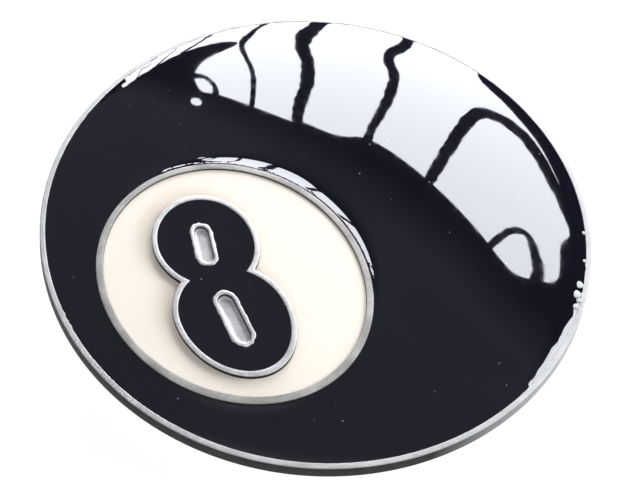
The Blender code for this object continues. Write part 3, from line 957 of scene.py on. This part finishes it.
# A row of softboxes stands in one upright plane, 1 m away on this bearing. Places in it are
# (metres to the right of the bearing, metres above the buckle). Dark bars hang between them.
WINDOW_BEARING = math.radians(28)
WINDOW_DISTANCE = 1.0
MAIN_WINDOW = (
    (-2.50, 0.20), (-1.05, 0.20), (-0.95, 0.03), (-0.46, 0.03), (-0.42, 0.42), (-0.33, 0.50),
    (-0.20, 0.575), (-0.08, 0.67), (0.00, 0.77), (0.01, 0.88), (0.07, 1.00), (0.085, 1.05),
    (0.08, 1.10), (0.04, 1.16), (-0.03, 1.165), (-0.18, 1.125), (-0.38, 1.08), (-0.55, 1.06),
    (-0.68, 1.07), (-0.76, 1.13), (-0.84, 1.165), (-0.98, 1.18), (-1.03, 1.21), (-1.30, 1.225),
    (-1.52, 1.225), (-1.63, 1.24), (-1.66, 1.15), (-1.62, 1.05), (-1.50, 0.91), (-1.30, 0.745),
    (-1.42, 0.765), (-1.65, 0.87), (-1.89, 1.02), (-2.12, 1.17), (-2.50, 1.30),
)
SIDE_WINDOW = (
    (0.42, 0.35), (0.39, 0.90), (0.42, 1.06), (0.48, 1.21), (0.62, 1.34), (0.78, 1.42),
    (1.05, 1.40), (1.30, 1.30), (1.30, 0.35),
)
BARS = (                                # width in mm, and middle line
    (32, ((-1.29, 1.30), (-1.255, 1.10), (-1.24, 0.92), (-1.275, 0.75), (-1.20, 0.60),
          (-1.10, 0.20))),
    (62, ((-1.00, 1.25), (-1.00, 1.10), (-0.965, 0.92), (-0.96, 0.75), (-0.985, 0.62),
          (-0.93, 0.48), (-0.90, 0.20))),
    (36, ((-0.67, 1.20), (-0.66, 0.98), (-0.635, 0.78), (-0.635, 0.64), (-0.67, 0.55),
          (-0.63, 0.44), (-0.62, 0.20))),
    (40, ((-0.39, 1.20), (-0.39, 0.95), (-0.385, 0.75), (-0.37, 0.61), (-0.31, 0.575),
          (-0.22, 0.595), (-0.09, 0.68), (0.03, 0.79))),
    (26, ((-0.09, 1.20), (-0.085, 1.02), (-0.06, 0.95), (-0.02, 0.955), (0.05, 1.05), (0.08, 1.13),
          (0.09, 1.24))),
    (45, ((-1.53, 1.26), (-1.51, 1.15), (-1.57, 1.08), (-1.66, 1.10))),
    (30, ((-1.66, 0.88), (-1.50, 0.65), (-1.45, 0.20))),
    (30, ((-1.88, 1.03), (-1.80, 0.75), (-1.70, 0.20))),
    (40, ((-2.20, 1.25), (-2.10, 0.50), (-2.10, 0.20))),
)
LAMP = {"centre": (-1.71, 1.37), "half_size": (0.055, 0.035), "lean": math.radians(-35)}
LAYER_GAP = 5 * MM                      # from the softboxes to the bars, and to the cloth behind
BAR_UNEVEN = 0.25                       # how uneven the bars' edges are, and the length of that
BAR_GRAIN = 30 * MM
PANE_COLOUR = (0.91, 0.93, 1.0)
PANE_RADIANCE = 11.5
SURROUND_SPAN = (-3.6, 2.4)
SURROUND_LEVELS = (-0.05, 1.6)          # its foot and its top
SURROUND_BLACK = 1.22                   # above this it fades from black to the room's light
CLOTH_COLOUR = (0.004, 0.004, 0.004)
ROOM_COLOUR = (0.90, 0.93, 1.0)
ROOM_RADIANCE = 0.20
FRONT_LIGHT = (-0.35, -0.75, 0.55)      # where the room is brightest
FRONT_RADIANCE = 1.4
FRONT_EDGE = 0.55                       # cosine of the angle at which that has faded out
WHITE = (1.0, 1.0, 1.0)
FLOOR_GREY = (0.20, 0.20, 0.20)
FLOOR_RADIANCE = 0.90


def window_piece(name, points, faces, material, behind):
    """A flat shape in the plane of the softboxes, or a little in front of it or behind it."""
    outward = Vector((math.cos(WINDOW_BEARING), math.sin(WINDOW_BEARING), 0.0))
    rightward = Vector((math.sin(WINDOW_BEARING), -math.cos(WINDOW_BEARING), 0.0))
    start = outward * (WINDOW_DISTANCE + behind)
    mesh = bmesh.new()
    corners = [mesh.verts.new(start + rightward * s + Vector((0.0, 0.0, t))) for s, t in points]
    for face in faces:
        mesh.faces.new([corners[i] for i in face])
    data = bpy.data.meshes.new(name)
    mesh.to_mesh(data)
    mesh.free()
    data.materials.append(material)
    piece = bpy.data.objects.new(name, data)
    piece.visible_camera = False
    bpy.context.scene.collection.objects.link(piece)


def filled(outline):
    """The points and triangles of a flat shape."""
    points = [Vector(p) for p in outline]
    edges = [(i, (i + 1) % len(points)) for i in range(len(points))]
    flat, _, faces, *_ = delaunay_2d_cdt(points, edges, [], 1, 1e-9)
    return flat, faces


def ribbon(points, width):
    """The points and faces of a bar along a smooth curve, with slightly uneven edges."""
    curve = smooth_curve(points, 12)
    sides = []
    for i, point in enumerate(curve):
        ahead = curve[min(i + 1, len(curve) - 1)] - curve[max(i - 1, 0)]
        side = Vector((-ahead.y, ahead.x)).normalized() * width / 2
        for edge in (1, -1):
            torn = noise.noise(Vector((point.x, point.y, edge)) / BAR_GRAIN)
            sides.append(point + side * edge * (1 + BAR_UNEVEN * torn))
    faces = [(i, i + 1, i + 3, i + 2) for i in range(0, len(sides) - 2, 2)]
    return sides, faces


def lamp_outline(steps=24):
    """A small oval lamp beside the softboxes."""
    cosine, sine = math.cos(LAMP["lean"]), math.sin(LAMP["lean"])
    points = []
    for i in range(steps):
        angle = 2 * math.pi * i / steps
        u = LAMP["half_size"][0] * math.cos(angle)
        v = LAMP["half_size"][1] * math.sin(angle)
        points.append((LAMP["centre"][0] + u * cosine - v * sine,
                       LAMP["centre"][1] + u * sine + v * cosine))
    return points


def softbox_material():
    """Bright panes, whose light counts for one reflection only. Passed on between two shiny
    surfaces it would land as specks."""
    material = bpy.data.materials.new("softbox")
    tree = Tree(material)
    emission = tree.node("ShaderNodeEmission")
    emission.inputs["Color"].default_value = (*PANE_COLOUR, 1.0)
    rays = tree.node("ShaderNodeLightPath")
    direct = tree.maths("LESS_THAN", rays.outputs["Glossy Depth"], 1.5)
    tree.link(tree.maths("MULTIPLY", direct, PANE_RADIANCE), emission.inputs["Strength"])
    tree.link(emission.outputs[0], tree.tree.nodes["Material Output"].inputs["Surface"])
    return material


def cloth_material():
    """Black cloth, whose top fades into the light of the room."""
    material, tree = new_material("black_cloth", 0.0, 1.0, CLOTH_COLOUR)
    position = tree.node("ShaderNodeSeparateXYZ")
    tree.link(tree.coordinates(), position.inputs[0])
    tree.shader().inputs["Emission Color"].default_value = (*ROOM_COLOUR, 1.0)
    top = SURROUND_LEVELS[1]
    tree.link(tree.map_range(position.outputs[2], SURROUND_BLACK, top, 0.0, ROOM_RADIANCE),
              tree.shader().inputs["Emission Strength"])
    return material


def make_lights():
    """The softboxes and the lamp, the bars in front of them, and the cloth behind them."""
    glow = softbox_material()
    cloth = cloth_material()
    window_piece("main_window", *filled(smooth_curve(MAIN_WINDOW, 4, closed=True)), glow, 0.0)
    window_piece("side_window", *filled(SIDE_WINDOW), glow, 0.0)
    for i, (width, points) in enumerate(BARS):
        window_piece(f"bar_{i}", *ribbon(points, width * MM), cloth, -LAYER_GAP)
    window_piece("lamp", *filled(lamp_outline()), glow, 0.0)
    left, right = SURROUND_SPAN
    foot, top = SURROUND_LEVELS
    surround = ((left, foot), (right, foot), (right, top), (left, top))
    window_piece("surround", surround, [(0, 1, 2, 3)], cloth, LAYER_GAP)


def make_world():
    """A dim room, brighter in front, that the camera sees as plain white."""
    world = bpy.data.worlds.new("studio")
    bpy.context.scene.world = world
    tree = Tree(world)
    dim = tree.tree.nodes["Background"]
    dim.inputs["Color"].default_value = (*ROOM_COLOUR, 1.0)
    direction = tree.node("ShaderNodeTexCoord")
    toward = tree.node("ShaderNodeVectorMath", operation="DOT_PRODUCT")
    toward.inputs[1].default_value = Vector(FRONT_LIGHT).normalized()
    tree.link(direction.outputs["Generated"], toward.inputs[0])
    glow = tree.map_range(toward.outputs["Value"], FRONT_EDGE, 1.0, ROOM_RADIANCE, FRONT_RADIANCE)
    tree.link(glow, dim.inputs["Strength"])
    pale = tree.node("ShaderNodeBackground")
    pale.inputs["Color"].default_value = (*WHITE, 1.0)
    path = tree.node("ShaderNodeLightPath")
    mix = tree.node("ShaderNodeMixShader")
    tree.link(path.outputs["Is Camera Ray"], mix.inputs[0])
    tree.link(dim.outputs[0], mix.inputs[1])
    tree.link(pale.outputs[0], mix.inputs[2])
    tree.link(mix.outputs[0], tree.tree.nodes["World Output"].inputs["Surface"])


def make_floor():
    """Pale table that also glows a little, so that shadows stay light."""
    mesh = bmesh.new()
    bmesh.ops.create_grid(mesh, x_segments=1, y_segments=1, size=3.0)
    floor = make_object("floor", mesh)
    material, tree = new_material("floor", 0.0, 0.9, FLOOR_GREY)
    tree.shader().inputs["Emission Color"].default_value = (*WHITE, 1.0)
    tree.shader().inputs["Emission Strength"].default_value = FLOOR_RADIANCE
    tree.shader().inputs["Specular IOR Level"].default_value = 0.0
    floor.data.materials.append(material)


def main():
    bpy.context.scene.view_settings.view_transform = "Standard"
    rim_metal = pewter_material("rim_pewter", (0.40, 0.395, 0.385), (0.52, 0.515, 0.505), 0.6,
                                lighter_side=True)
    make_rim_and_shell(rim_metal)
    make_pads(rim_metal)
    make_burrs(rim_metal)
    # painted light: the numeral's walls and slots, cast in the same metal, get a lighter pewter
    # where they catch the light
    make_walls(pewter_material("ring_pewter", (0.36, 0.35, 0.325), (0.58, 0.56, 0.53), 0.8),
               pewter_material("lit_numeral_pewter", (0.54, 0.535, 0.52), (0.76, 0.75, 0.73), 0.6))
    make_enamel(black_enamel_material(), cream_enamel_material())
    steel = steel_material()
    make_bail(steel)
    make_clip(steel)
    make_rivets(steel)
    make_stud(steel)
    make_camera()
    make_lights()
    make_world()
    make_floor()


main()
